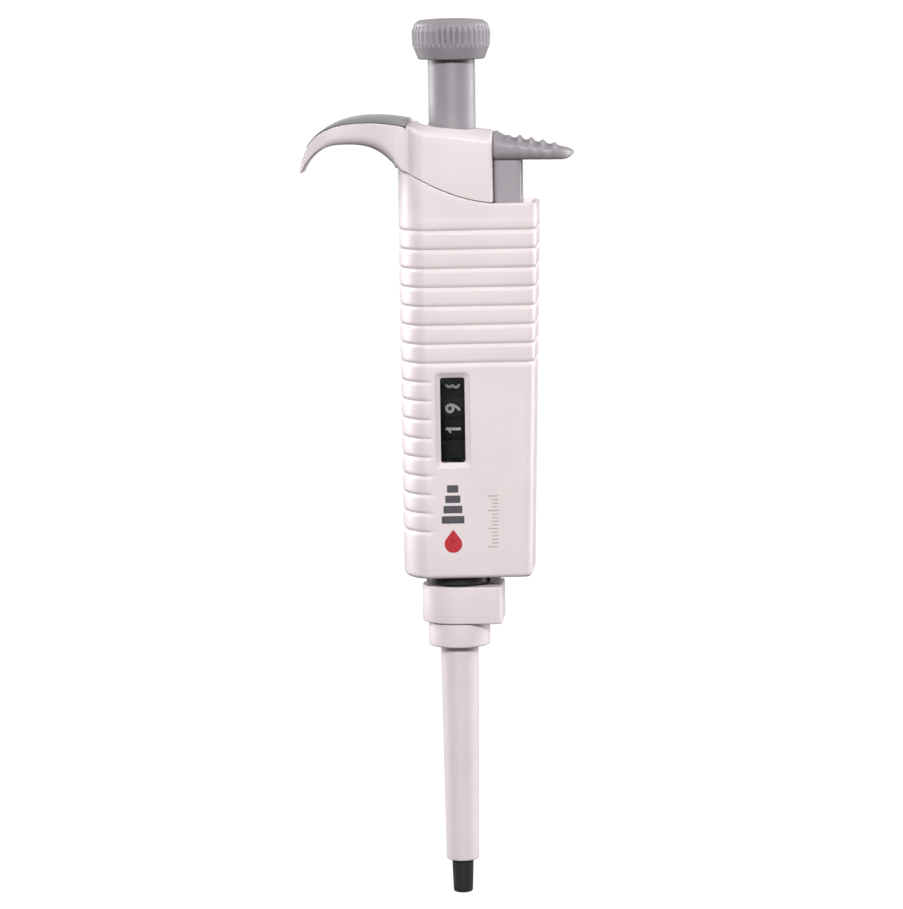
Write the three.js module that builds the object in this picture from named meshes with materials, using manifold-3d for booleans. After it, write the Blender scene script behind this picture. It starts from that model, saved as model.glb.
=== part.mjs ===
// Adjustable air-displacement micropipette, 20 to 200 microlitres, shown set at 198.
// Millimetres, +Z up. +X points to the tip ejector, -X to the finger hook, -Y to the counter window.
// Every height below is measured up the plunger axis from the open end of the tip cone. The finished
// group is then lowered by the total height, so its origin is the middle of the thumb face.
import * as THREE from 'three';
import { mergeVertices } from 'three/addons/utils/BufferGeometryUtils.js';
import Module from 'manifold-3d';

const wasm = await Module();
wasm.setup();

// ---------- driving dimensions ----------
const GAP = 0.3;
const TOTAL_HEIGHT = 235;

// Volume mechanism: the piston displaces 10 microlitres for each turn of the screw.
const THREAD_PITCH = 0.65;
const VOLUME_PER_TURN = 10;
const SET_VOLUME = 198;
const BLOWOUT_TRAVEL = 2.4;
const STROKE = (SET_VOLUME / VOLUME_PER_TURN) * THREAD_PITCH;
const PISTON_RADIUS = Math.sqrt(VOLUME_PER_TURN / (Math.PI * THREAD_PITCH));
const PISTON_TOP = 106;
const SPINDLE_RADIUS = 2.9;
const SPINDLE_END = 113.6;
const SCREW_RADIUS = 3.1;
const NUT_BOTTOM = 172;
const NUT_HEIGHT = 5;
const PLATE_TOP = NUT_BOTTOM - STROKE;
const PLATE_THICKNESS = 2;

// Body: half-round on the hook side, flat faces that narrow towards the ejector side.
const BODY_BOTTOM = 87.6;
const SHOULDER = 186.8;
const BODY_HALF_THICKNESS = 13;
const FLAT_START = -6.6;
const ROUND_DEPTH = 8.6;
const FLAT_TAPER = THREE.MathUtils.degToRad(7);
const BODY_CORNER = 4;
const WALL = 2;
const FLOOR = 2.5;
const END_AT_BOTTOM = 20.7;
const END_SLOPE = 0.0235;

// Grip grooves: the upper ones run all the way round, the lower ones only round the hook side.
const GROOVE_COUNT = 17;
const FULL_GROOVES = 8;
const GROOVE_PITCH = 4.98;
const TOP_GROOVE = 179.8;
const GROOVE_HALF_WIDTH = 0.6;
const GROOVE_DEPTH = 0.5;

// Cap
const CAP_END = 12;
const CAP_TOP = 207.1;
const CAP_SLOPE = THREE.MathUtils.degToRad(6);
const CAP_CROWN = 2.2;
const CAP_POCKET_TOP = 201.6;
const HOOK_HALF_WIDTH = 7.5;
const HOOK_SEAT = 200.9;
const PAD_THICKNESS = 2.2;
const PAD_END = -12.4;
const STEM_RADIUS = 6.2;
const STEM_HOLE = 7.2;

// Counter
const WINDOW_WIDTH = 7;
const WINDOW_BOTTOM = 118.4;
const WINDOW_TOP = 141.3;
const DRUM_RADIUS = 8.8;
const DRUM_PITCH = 5.5;
const UNITS_HEIGHT = 138.2;
const FRAME_RADIUS = 9.7;
const FRAME_PLATE = 1.5;
const BORE_RADIUS = 5.2;
const PINION_X = -11;
const AXLE_RADIUS = 0.6;

// Lower end
const CONE_END_RADIUS = 2.6;
const SLEEVE_BOTTOM = 9.1;
const SLEEVE_TOP = 68.1;
const COLLAR_TOP = 74.4;
const YOKE_TOP = 84.6;
const HOUSING_RADIUS = 5.9;

// Ejector
const EJECTOR_X = 14.5;
const LOWER_ARM_X = 10;
const STEM_END = 19.6;
const STRIP_HALF_THICKNESS = 1.1;
const STRIP_HALF_WIDTH = 2.5;

// ---------- materials ----------
function plastic(color, roughness) {
  return new THREE.MeshStandardMaterial({ color, roughness, metalness: 0 });
}

function metal(color, roughness) {
  return new THREE.MeshStandardMaterial({ color, roughness, metalness: 1 });
}

const shellWhite = plastic(0xe9dfe1, 0.42);
const keyGrey = plastic(0x9a949a, 0.5);
const padGrey = plastic(0x8c878c, 0.7);
const counterBlack = plastic(0x1c1d20, 0.45);
const coneBlack = plastic(0x2c2d31, 0.4);
const clearPlastic = plastic(0xcfd6da, 0.1);
const whitePlastic = plastic(0xf2f0ea, 0.5);
const sealRubber = plastic(0x1a1a1a, 0.8);
const steel = metal(0xb9bcc0, 0.3);
const brass = metal(0xb9985a, 0.35);

// ---------- geometry helpers ----------
// The signed volume tells whether the faces of a closed triangle list point outwards.
function signedVolume(positions, indices) {
  const corner = [new THREE.Vector3(), new THREE.Vector3(), new THREE.Vector3()];
  let volume = 0;
  for (let i = 0; i < indices.length; i += 3) {
    corner.forEach((point, k) => point.fromArray(positions, 3 * indices[i + k]));
    volume += corner[0].dot(corner[1].clone().cross(corner[2]));
  }
  return volume;
}

// A closed geometry as a solid whose faces point outwards.
function solid(geometry) {
  const bare = geometry.clone();
  bare.deleteAttribute('normal');
  bare.deleteAttribute('uv');
  const merged = mergeVertices(bare, 1e-4);
  const positions = merged.attributes.position.array;
  const triangles = [];
  for (let i = 0; i < merged.index.count; i += 3) {
    const [a, b, c] = [0, 1, 2].map((k) => merged.index.getX(i + k));
    if (a !== b && b !== c && c !== a) triangles.push([a, b, c]);
  }
  if (signedVolume(positions, triangles.flat()) < 0) triangles.forEach((triangle) => triangle.reverse());
  const mesh = new wasm.Mesh({
    numProp: 3,
    vertProperties: positions,
    triVerts: new Uint32Array(triangles.flat()),
  });
  return new wasm.Manifold(mesh);
}

function geometryOf(made) {
  const { vertProperties, triVerts } = made.getMesh();
  const geometry = new THREE.BufferGeometry();
  geometry.setAttribute('position', new THREE.BufferAttribute(vertProperties, 3));
  geometry.setIndex(new THREE.BufferAttribute(triVerts, 1));
  return geometry;
}

function cut(base, ...tools) {
  return geometryOf(tools.reduce((rest, tool) => rest.subtract(solid(tool)), solid(base)));
}

function join(first, ...others) {
  return geometryOf(others.reduce((sum, other) => sum.add(solid(other)), solid(first)));
}

function common(first, ...others) {
  return geometryOf(others.reduce((rest, other) => rest.intersect(solid(other)), solid(first)));
}

// A solid of revolution about Z from [radius, height] pairs.
function turned(profile, facets = 24) {
  const points = profile.map(([radius, height]) => new THREE.Vector2(radius, height));
  const startsOnAxis = points[0].x === 0;
  if (!startsOnAxis) points.push(points[0].clone());
  return new THREE.LatheGeometry(points, facets).rotateX(Math.PI / 2);
}

function ring(inner, outer, bottom, top, facets = 24) {
  return turned([[inner, bottom], [outer, bottom], [outer, top], [inner, top]], facets);
}

function rod(radius, bottom, top, facets = 24) {
  return turned([[0, bottom], [radius, bottom], [radius, top], [0, top]], facets);
}

function block(x, y, z) {
  const box = new THREE.BoxGeometry(x[1] - x[0], y[1] - y[0], z[1] - z[0]);
  return box.translate((x[0] + x[1]) / 2, (y[0] + y[1]) / 2, (z[0] + z[1]) / 2);
}

// A slot in a floor or plate for the flat strip of the ejector, at x, with a gap all round.
function stripSlot(x, bottom, top) {
  const deep = STRIP_HALF_THICKNESS + GAP;
  const wide = STRIP_HALF_WIDTH + GAP;
  return block([x - deep, x + deep], [-wide, wide], [bottom, top]);
}

// A plan outline raised from one height to another.
function prism(shape, bottom, top, curveSegments = 6) {
  const settings = { depth: top - bottom, bevelEnabled: false, curveSegments };
  return new THREE.ExtrudeGeometry(shape, settings).translate(0, 0, bottom);
}

// A side outline drawn in X and Z, as thick as twice the half width along Y.
function sidePlate(shape, halfWidth, curveSegments = 6) {
  const settings = { depth: 2 * halfWidth, bevelEnabled: false, curveSegments };
  return new THREE.ExtrudeGeometry(shape, settings).rotateX(Math.PI / 2).translate(0, halfWidth, 0);
}

function roundedRectangle(left, right, low, high, radius) {
  const shape = new THREE.Shape();
  shape.absarc(right - radius, low + radius, radius, -Math.PI / 2, 0);
  shape.absarc(right - radius, high - radius, radius, 0, Math.PI / 2);
  shape.absarc(left + radius, high - radius, radius, Math.PI / 2, Math.PI);
  shape.absarc(left + radius, low + radius, radius, Math.PI, 1.5 * Math.PI);
  return shape;
}

// A closed round wire wound about an upright axis, with flat-ended coils.
function coil({ radius, wire, turns, bottom, top, x = 0, stepsPerTurn = 14 }) {
  const rise = top - bottom - 2 * wire;
  class Winding extends THREE.Curve {
    getPoint(t, target = new THREE.Vector3()) {
      const angle = 2 * Math.PI * turns * t;
      const deadEnd = 1 / turns;
      const climb = THREE.MathUtils.clamp((t - deadEnd) / (1 - 2 * deadEnd), 0, 1);
      const restingCoils = wire * 2.1 * (Math.min(t, deadEnd) + Math.max(t - 1 + deadEnd, 0)) * turns;
      const z = bottom + wire + restingCoils + climb * (rise - 4.2 * wire);
      return target.set(x + radius * Math.cos(angle), radius * Math.sin(angle), z);
    }
  }
  const section = new THREE.Shape().absarc(0, 0, wire, 0, 2 * Math.PI);
  const settings = { steps: Math.round(turns * stepsPerTurn), curveSegments: 3, extrudePath: new Winding() };
  return new THREE.ExtrudeGeometry(section, settings);
}

// ---------- body outline ----------
function endAt(height) {
  return END_AT_BOTTOM + END_SLOPE * (height - BODY_BOTTOM);
}

// Half the thickness of the body where x lies on its flat faces.
function halfThickness(x) {
  return BODY_HALF_THICKNESS - Math.max(x - FLAT_START, 0) * Math.tan(FLAT_TAPER);
}

// Plan outline of the body at a height, moved in by an inset, as the same number of points each time.
function bodyOutline(height, inset) {
  const points = [];
  const roundSteps = 14;
  for (let i = 0; i <= roundSteps; i++) {
    const angle = Math.PI / 2 + (Math.PI * i) / roundSteps;
    const x = FLAT_START + (ROUND_DEPTH - inset) * Math.cos(angle);
    points.push(new THREE.Vector2(x, (BODY_HALF_THICKNESS - inset) * Math.sin(angle)));
  }
  const corner = BODY_CORNER - Math.min(inset, BODY_CORNER - 1);
  const cornerX = endAt(height) - inset - corner;
  const cornerY = halfThickness(cornerX) - inset - corner / Math.cos(FLAT_TAPER);
  const cornerSteps = 4;
  for (const side of [-1, 1]) {
    for (let i = 0; i <= cornerSteps; i++) {
      const turn = side < 0 ? i / cornerSteps : 1 - i / cornerSteps;
      const angle = (Math.PI / 2 - FLAT_TAPER) * (1 - turn);
      points.push(new THREE.Vector2(
        cornerX + corner * Math.cos(angle),
        side * (cornerY + corner * Math.sin(angle)),
      ));
    }
  }
  return points;
}

// A closed skin through a stack of outlines with equal numbers of points.
function loft(levels) {
  const count = levels[0].points.length;
  const positions = levels.flatMap(({ points, height }) => points.flatMap((p) => [p.x, p.y, height]));
  const indices = [];
  for (let level = 0; level + 1 < levels.length; level++) {
    for (let i = 0; i < count; i++) {
      const a = level * count + i;
      const b = level * count + ((i + 1) % count);
      indices.push(a, b, b + count, a, b + count, a + count);
    }
  }
  const last = (levels.length - 1) * count;
  for (let i = 1; i + 1 < count; i++) {
    indices.push(0, i + 1, i, last, last + i, last + i + 1);
  }
  const geometry = new THREE.BufferGeometry();
  geometry.setAttribute('position', new THREE.Float32BufferAttribute(positions, 3));
  geometry.setIndex(indices);
  return geometry;
}

function straightBody(bottom, top, inset) {
  return loft([bottom, top].map((height) => ({ height, points: bodyOutline(height, inset) })));
}

// The body skin with its grip grooves, taller than needed so the seam can trim it.
function groovedBody(top) {
  const chamfer = 0.8;
  const levels = [
    { height: BODY_BOTTOM, points: bodyOutline(BODY_BOTTOM, chamfer) },
    { height: BODY_BOTTOM + chamfer, points: bodyOutline(BODY_BOTTOM, 0) },
  ];
  for (let groove = GROOVE_COUNT - 1; groove >= 0; groove--) {
    const middle = TOP_GROOVE - groove * GROOVE_PITCH;
    const fullRound = groove < FULL_GROOVES;
    const rim = (height) => ({ height, points: bodyOutline(height, 0) });
    const root = bodyOutline(middle, GROOVE_DEPTH);
    const plain = bodyOutline(middle, 0);
    const points = plain.map((point, i) => (fullRound || point.x < FLAT_START - 0.1 ? root[i] : point));
    levels.push(
      rim(middle - GROOVE_HALF_WIDTH),
      { height: middle, points },
      rim(middle + GROOVE_HALF_WIDTH),
    );
  }
  levels.push({ height: top, points: bodyOutline(top, 0) });
  return loft(levels);
}

// The curved seam between body and cap, seen from the side, from the hook to the flat end of the cap.
function seamShape(lift, top) {
  const shape = new THREE.Shape();
  shape.moveTo(-17, 196.4 + lift);
  shape.bezierCurveTo(-10.5, 196.6 + lift, -3.8, 188.4 + lift, CAP_END, SHOULDER + lift);
  shape.lineTo(CAP_END, top);
  shape.lineTo(-17, top);
  return shape;
}

// ---------- handle ----------
function handleShell() {
  const tall = 202;
  const cavity = straightBody(BODY_BOTTOM + FLOOR, tall, WALL);
  const roof = block([CAP_END - 1.4, 30], [-20, 20], [SHOULDER - FLOOR, tall]);
  const aboveSeam = sidePlate(seamShape(0, tall + 1), 20, 12);
  const aboveShoulder = block([CAP_END - 0.01, 30], [-20, 20], [SHOULDER, tall + 1]);
  const stemSlot = block([CAP_END, STEM_END + GAP], [-5.8, 5.8], [SHOULDER - FLOOR - 1, tall]);
  const coneHole = rod(HOUSING_RADIUS + GAP, BODY_BOTTOM - 1, BODY_BOTTOM + FLOOR + 1, 32);
  const armSlot = stripSlot(LOWER_ARM_X, BODY_BOTTOM - 1, BODY_BOTTOM + FLOOR + 1);
  return cut(
    groovedBody(tall), aboveSeam, aboveShoulder, cut(cavity, roof),
    stemSlot, coneHole, armSlot, ...windowCuts(),
  );
}

// Everything about the window is laid out on the near flat face, which leans by its taper.
function ontoNearFace(geometry) {
  return geometry.rotateZ(FLAT_TAPER).translate(0, -halfThickness(0), 0);
}

// The window opening, its bevelled surround and the pocket behind it for the mask.
function windowCuts() {
  const half = WINDOW_WIDTH / 2;
  const bevel = 1.1;
  const frame = (inset, depth) => {
    const [left, low] = [-half + inset, WINDOW_BOTTOM + inset];
    const [right, high] = [half - inset, WINDOW_TOP - inset];
    return [[left, low], [right, low], [right, high], [left, high]].map(([x, z]) => [x, depth, z]).flat();
  };
  const surround = new THREE.BufferGeometry();
  const corners = [...frame(-bevel - 0.1, -0.1), ...frame(0, bevel)];
  surround.setAttribute('position', new THREE.Float32BufferAttribute(corners, 3));
  const sides = [0, 1, 2, 3].flatMap((i) => {
    const next = (i + 1) % 4;
    return [i, next, next + 4, i, next + 4, i + 4];
  });
  surround.setIndex([0, 2, 1, 0, 3, 2, 4, 5, 6, 4, 6, 7, ...sides]);
  const opening = block([-half, half], [-1, WALL + 1.5], [WINDOW_BOTTOM, WINDOW_TOP]);
  const pocket = block([-5.1, 5.1], [1.9, 4], [WINDOW_BOTTOM - 1.8, WINDOW_TOP + 0.6]);
  return [surround, opening, pocket].map(ontoNearFace);
}

function windowLens() {
  const half = WINDOW_WIDTH / 2 - GAP;
  return ontoNearFace(block([-half, half], [1.1, 1.9], [WINDOW_BOTTOM + GAP, WINDOW_TOP - GAP]));
}

// Black plate behind the lens with the slot the digits are read through.
function windowMask() {
  const bottom = WINDOW_BOTTOM - 1.5;
  const top = WINDOW_TOP + GAP;
  const plate = block([-4.8, 4.8], [2.2, 2.8], [bottom, top]);
  const slot = block([-3.2, 3.2], [2, 3], [WINDOW_BOTTOM + 0.6, UNITS_HEIGHT + 0.5]);
  return ontoNearFace(cut(plate, slot));
}

// The top line of the finger hook from the cap to its tip, lowered by a drop.
function traceHookTop(shape, drop) {
  shape.lineTo(-11.5, 208 - drop);
  shape.bezierCurveTo(-17, 209.6 - drop, -26, 210.6 - drop, -33, 206.2 - drop);
  shape.bezierCurveTo(-36.5, 204 - drop, -38.6, 200.5 - drop / 2, -39.6, 193.9);
}

// Side outline of the hook. Its underside has a short flat seat that rests on a stand.
function hookShape() {
  const shape = new THREE.Shape();
  shape.moveTo(-8, 207.9 - PAD_THICKNESS);
  traceHookTop(shape, PAD_THICKNESS);
  shape.lineTo(-39.1, 193.6);
  shape.bezierCurveTo(-37.2, 197.2, -34.2, 200.4, -28.6, HOOK_SEAT);
  shape.lineTo(-24.6, HOOK_SEAT);
  shape.bezierCurveTo(-20, 200.2, -17.6, 197.8, -15.2, 197);
  shape.lineTo(-8, 197);
  return shape;
}

// Everything under the hook's top line lowered by a drop.
function underHookTop(drop, bottom, halfWidth) {
  const shape = new THREE.Shape();
  shape.moveTo(-8, bottom);
  shape.lineTo(-8, 207.9 - drop);
  traceHookTop(shape, drop);
  shape.lineTo(-41, bottom);
  return sidePlate(shape, halfWidth, 10);
}

// The crowned top of the cap: a bar along X with a rounded upper side, sloping down to the ejector.
// A quadratic curve passes halfway to its middle control point, so the ridge comes out at zero.
function crownBar(top, halfWidth, crown) {
  const shoulder = 0.2 - crown;
  const flatTo = halfWidth - 1.2;
  const shape = new THREE.Shape();
  shape.moveTo(-halfWidth, -40);
  shape.lineTo(halfWidth, -40);
  shape.lineTo(halfWidth, -crown - 1);
  shape.quadraticCurveTo(halfWidth, -crown, flatTo, shoulder);
  shape.quadraticCurveTo(0, -shoulder, -flatTo, shoulder);
  shape.quadraticCurveTo(-halfWidth, -crown, -halfWidth, -crown - 1);
  const settings = { depth: 60, bevelEnabled: false, curveSegments: 8 };
  const bar = new THREE.ExtrudeGeometry(shape, settings).translate(0, 0, -30);
  return bar.rotateX(Math.PI / 2).rotateZ(Math.PI / 2).rotateY(CAP_SLOPE).translate(0, 0, top);
}

function hookCap() {
  const bottom = 180;
  const top = 212;
  const skin = common(
    straightBody(bottom, top, 0),
    sidePlate(seamShape(GAP, top), 20, 12),
    crownBar(CAP_TOP, BODY_HALF_THICKNESS + 0.5, CAP_CROWN),
  );
  const hook = sidePlate(hookShape(), HOOK_HALF_WIDTH, 10);
  const pocket = cut(
    straightBody(bottom - 1, CAP_POCKET_TOP, WALL),
    block([CAP_END - 1.6, 30], [-20, 20], [bottom - 2, top]),
  );
  const padRecess = cut(
    block([-42, PAD_END + GAP], [-HOOK_HALF_WIDTH - GAP, HOOK_HALF_WIDTH + GAP], [195, top + 4]),
    underHookTop(PAD_THICKNESS, 170, 12),
  );
  return cut(join(skin, hook), padRecess, pocket, rod(STEM_HOLE, 190, top, 32));
}

// Soft pad that covers the top of the hook from near its tip to the cap.
function hookPad() {
  const above = underHookTop(0, 180, HOOK_HALF_WIDTH);
  const below = underHookTop(PAD_THICKNESS - GAP, 178, HOOK_HALF_WIDTH + 1);
  return common(cut(above, below), block([-38.6, PAD_END], [-9, 9], [198, 214]));
}

function stemBush() {
  return ring(STEM_RADIUS + GAP, 9, 196.6, 201.2);
}

function calibrationRing() {
  return ring(STEM_RADIUS + GAP, 9.2, 187.4, 190, 12);
}

function topBearing() {
  return ring(STEM_RADIUS + GAP, FRAME_RADIUS, 184.4, 187.1);
}

// The tube the stop nut travels in, with a ledge for the blow-out spring and a slot for the nut's key.
function guideSleeve() {
  const wallInner = 8.8;
  const tube = turned([
    [7, 145.5], [FRAME_RADIUS, 145.5], [FRAME_RADIUS, 184.1],
    [wallInner, 184.1], [wallInner, 147.5], [7, 147.5],
  ]);
  const keySlot = block([-1.3, 1.3], [6, 12], [144, 178.6]);
  return cut(tube, keySlot);
}

// End rings that hold the number drums, each with a foot that ties it to the curved back wall.
function counterFrame() {
  const bottom = WINDOW_BOTTOM - 1.6 - FRAME_PLATE;
  const top = UNITS_HEIGHT + 4.6 + FRAME_PLATE;
  const behind = block([-20, 20], [4, 20], [bottom - 1, top + 1]);
  const wall = common(ring(DRUM_RADIUS + GAP, FRAME_RADIUS, bottom, top), behind);
  const foot = (height) => common(ring(8.5, FRAME_RADIUS - 0.1, height, height + FRAME_PLATE), behind);
  const lower = ring(BORE_RADIUS, 9, bottom, bottom + FRAME_PLATE);
  const upper = ring(6.9, 9, top - FRAME_PLATE, top);
  return join(lower, upper, wall, foot(bottom), foot(top - FRAME_PLATE));
}

function drumArbor() {
  return ring(3.4, BORE_RADIUS - GAP, 115.6, UNITS_HEIGHT + 1);
}

function numberDrum(place, web) {
  const middle = UNITS_HEIGHT - place * DRUM_PITCH;
  const half = DRUM_PITCH / 2 - GAP / 2;
  const drum = ring(BORE_RADIUS, DRUM_RADIUS, middle - half, middle + half, 30);
  return web ? join(drum, web) : drum;
}

// Only the units drum is keyed to the spindle, through a web with a six-sided hole.
function unitsDrum() {
  const top = UNITS_HEIGHT + DRUM_PITCH / 2 - GAP / 2;
  const web = ring(SPINDLE_RADIUS + GAP, BORE_RADIUS + 0.5, top - 1, top + 1, 6);
  return numberDrum(0, web);
}

// Carry pinions turn on one axle beside the drums, each level with the gap between two drums.
function pinionAxle() {
  return rod(AXLE_RADIUS, 117, 142, 12).translate(PINION_X, 0, 0);
}

function carryPinion(place) {
  const middle = UNITS_HEIGHT - (place + 0.5) * DRUM_PITCH;
  const teeth = 8;
  const outline = new THREE.Shape();
  for (let i = 0; i < 2 * teeth; i++) {
    const radius = i % 2 ? 1.85 : 1.3;
    const angle = (Math.PI * i) / teeth;
    const point = [radius * Math.cos(angle), radius * Math.sin(angle)];
    if (i === 0) outline.moveTo(...point);
    else outline.lineTo(...point);
  }
  outline.holes.push(new THREE.Path().absarc(0, 0, AXLE_RADIUS + GAP, 0, 2 * Math.PI, true));
  return prism(outline, middle - 1.8, middle + 1.8, 4).translate(PINION_X, 0, 0);
}

// ---------- lower end ----------
// Tip cone, seal pocket and piston housing in one turned piece, with the flange that meets the body.
function tipCone() {
  const flangeBottom = YOKE_TOP + 0.6;
  const flangeTop = BODY_BOTTOM - GAP;
  const bore = PISTON_RADIUS + GAP;
  return turned([
    [0.8, 0], [CONE_END_RADIUS - 0.5, 0], [CONE_END_RADIUS, 0.6], [2.92, 9.3], [3.5, 66],
    [3.5, 69.4], [HOUSING_RADIUS, 69.4], [HOUSING_RADIUS, flangeBottom], [8, flangeBottom],
    [8, flangeTop], [HOUSING_RADIUS, flangeTop], [HOUSING_RADIUS, 98],
    [4.7, 98], [4.7, 78.6], [4, 78.6], [4, 70.6], [bore, 70.6], [bore, 30], [0.8, 28],
  ], 32);
}

function coneNut() {
  return ring(HOUSING_RADIUS + GAP, 8.3, 90.5, 95.5, 12);
}

// Seal, seal ring and retainer stack up in the pocket under the return spring.
function sealRing() {
  const bore = PISTON_RADIUS + GAP;
  return ring(bore, 3.7, 72.6, 74.4);
}

function oRing() {
  const wire = 0.65;
  const shape = new THREE.TorusGeometry(PISTON_RADIUS + GAP + wire, wire, 8, 20);
  return shape.translate(0, 0, 71 + wire);
}

function sealRetainer() {
  const bore = PISTON_RADIUS + GAP;
  return turned([[bore, 74.7], [3.7, 74.7], [3.7, 79], [4.4, 79], [4.4, 80], [bore, 80]]);
}

// ---------- plunger ----------
function piston() {
  const rounding = 0.6;
  return turned([
    [0, 53], [PISTON_RADIUS - rounding, 53], [PISTON_RADIUS, 53 + rounding],
    [PISTON_RADIUS, PISTON_TOP], [0, PISTON_TOP],
  ], 20);
}

// Cup on the piston's upper end that takes the return spring.
function pistonHead() {
  const seat = PISTON_TOP + GAP;
  return turned([[0, seat], [4.3, seat], [4.3, seat + 3], [3.4, seat + 3.6], [0, seat + 3.6]]);
}

function thrustPad() {
  const bottom = PISTON_TOP + 4.2;
  const top = SPINDLE_END - GAP;
  return turned([[0, bottom], [3.2, bottom], [3.2, bottom + 1.8], [2.2, top], [0, top]]);
}

// Hexagonal drive rod below, screw thread core above.
function spindle() {
  const [start, end] = [157.5, 180.5];
  const chamfer = 0.5;
  const neck = SCREW_RADIUS - chamfer;
  const drive = rod(SPINDLE_RADIUS, SPINDLE_END, start + chamfer, 6);
  const screw = turned([
    [0, start], [neck, start], [SCREW_RADIUS, start + chamfer],
    [SCREW_RADIUS, end - chamfer], [neck, end], [0, end],
  ]);
  return join(drive, screw);
}

// Hollow stem under the push-button, with the flange that stops it at the top of its stroke.
function plungerStem() {
  const bore = SCREW_RADIUS + GAP;
  return turned([
    [bore, 178], [STEM_RADIUS, 178], [STEM_RADIUS, 181], [8.2, 181], [8.2, 184.1], [STEM_RADIUS, 184.1],
    [STEM_RADIUS, 230], [5, 230], [5, 186], [bore, 186],
  ], 32);
}

function plungerKnob() {
  const ribs = 44;
  const knurl = new THREE.Shape();
  for (let i = 0; i < 2 * ribs; i++) {
    const radius = i % 2 ? 10.3 : 9.9;
    const angle = (Math.PI * i) / ribs;
    const point = [radius * Math.cos(angle), radius * Math.sin(angle)];
    if (i === 0) knurl.moveTo(...point);
    else knurl.lineTo(...point);
  }
  const turnedKnob = turned([
    [STEM_RADIUS + GAP, 224.3], [7.6, 224.3], [8.6, 225], [10.1, 227.4], [10.4, 229], [10.4, 232],
    [9.6, 234.2], [8.2, TOTAL_HEIGHT], [7.6, TOTAL_HEIGHT], [7.6, 233], [4, 233], [4, 230 + GAP],
    [STEM_RADIUS + GAP, 230 + GAP],
  ], 44);
  return common(turnedKnob, join(
    prism(knurl, 227.6, 232.6),
    rod(12, 220, 227.6, 12),
    rod(12, 232.6, 240, 12),
  ));
}

function knobCap() {
  return turned([[0, 233.3], [7.3, 233.3], [7.3, 234.7], [7, TOTAL_HEIGHT], [0, TOTAL_HEIGHT]], 44);
}

// ---------- stop parts ----------
// Nut that climbs on the screw; its key runs in the slot of the guide sleeve and keeps it from turning.
function stopNut() {
  const top = NUT_BOTTOM + NUT_HEIGHT;
  const key = block([-1, 1], [5.5, 9.3], [NUT_BOTTOM, top]);
  return join(ring(SCREW_RADIUS + GAP, 6.4, NUT_BOTTOM, top), key);
}

// Plate on the blow-out spring, notched for the key of the nut.
function blowoutPlate() {
  const bottom = PLATE_TOP - PLATE_THICKNESS;
  const notch = block([-1.4, 1.4], [6, 9], [bottom - 1, PLATE_TOP + 1]);
  return cut(ring(6.9, 8.4, bottom, PLATE_TOP), notch);
}

// ---------- ejector ----------
// Side outline of the thumb lever with its row of grip bumps.
function buttonSide() {
  const shape = new THREE.Shape();
  const bumps = 5;
  const first = 17.6;
  const spacing = 2.95;
  const topAt = (x) => 205.1 - 0.18 * (x - CAP_END);
  shape.moveTo(CAP_END + GAP, 197.4);
  shape.lineTo(28.6, 197.4);
  shape.quadraticCurveTo(32.6, 197.9, 32.3, 199.6);
  shape.quadraticCurveTo(32, 200.6, 30.9, 200.9);
  for (let i = bumps - 1; i >= 0; i--) {
    const x = first + i * spacing;
    shape.lineTo(x + 0.8, topAt(x) - 0.8);
    shape.lineTo(x, topAt(x));
    shape.lineTo(x - 0.8, topAt(x) - 0.6);
  }
  shape.lineTo(15.6, topAt(15.6) - 0.3);
  shape.lineTo(CAP_END + GAP, topAt(CAP_END));
  return shape;
}

function ejectorButton() {
  const plan = new THREE.Shape();
  plan.moveTo(CAP_END, -7.5);
  plan.lineTo(25.5, -7.5);
  plan.absellipse(25.5, 0, 7.2, 7.5, -Math.PI / 2, Math.PI / 2);
  plan.lineTo(CAP_END, 7.5);
  return common(sidePlate(buttonSide(), 9), prism(plan, 190, 210, 8));
}

function ejectorStem() {
  return prism(roundedRectangle(CAP_END + GAP, STEM_END, -5.5, 5.5, 1.2), 160, 197.1, 3);
}

// Flat steel strip from the stem down to the yoke, stepped in towards the axis below the counter.
function ejectorRod() {
  const half = STRIP_HALF_THICKNESS;
  const shape = new THREE.Shape();
  shape.moveTo(LOWER_ARM_X - half, YOKE_TOP + GAP);
  shape.lineTo(LOWER_ARM_X + half, YOKE_TOP + GAP);
  shape.lineTo(LOWER_ARM_X + half, 103);
  shape.lineTo(EJECTOR_X + half, 108);
  shape.lineTo(EJECTOR_X + half, 159.7);
  shape.lineTo(EJECTOR_X - half, 159.7);
  shape.lineTo(EJECTOR_X - half, 109.5);
  shape.lineTo(LOWER_ARM_X - half, 104.5);
  return sidePlate(shape, STRIP_HALF_WIDTH);
}

function rodCollar() {
  const collar = rod(4.1, 151.2, 152.8, 16).translate(EJECTOR_X, 0, 0);
  return cut(collar, stripSlot(EJECTOR_X, 150, 154));
}

function springBracket() {
  const outline = roundedRectangle(EJECTOR_X - 4.3, EJECTOR_X + 4, -6.4, 6.4, 1);
  return cut(prism(outline, 121.6, 123.8, 2), stripSlot(EJECTOR_X, 120, 125));
}

// Block that carries the sleeve: round behind, squared towards the ejector arm.
function ejectorYoke() {
  const plan = new THREE.Shape();
  plan.moveTo(10.4, -8.1);
  plan.quadraticCurveTo(12, -8, 12, -6.4);
  plan.lineTo(12, 6.4);
  plan.quadraticCurveTo(12, 8, 10.4, 8.1);
  plan.lineTo(-0.6, 8.8);
  plan.absarc(-0.6, 0, 8.8, Math.PI / 2, 1.5 * Math.PI);
  return cut(prism(plan, COLLAR_TOP + GAP, YOKE_TOP, 14), rod(HOUSING_RADIUS + 0.4, 70, 90, 32));
}

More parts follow.
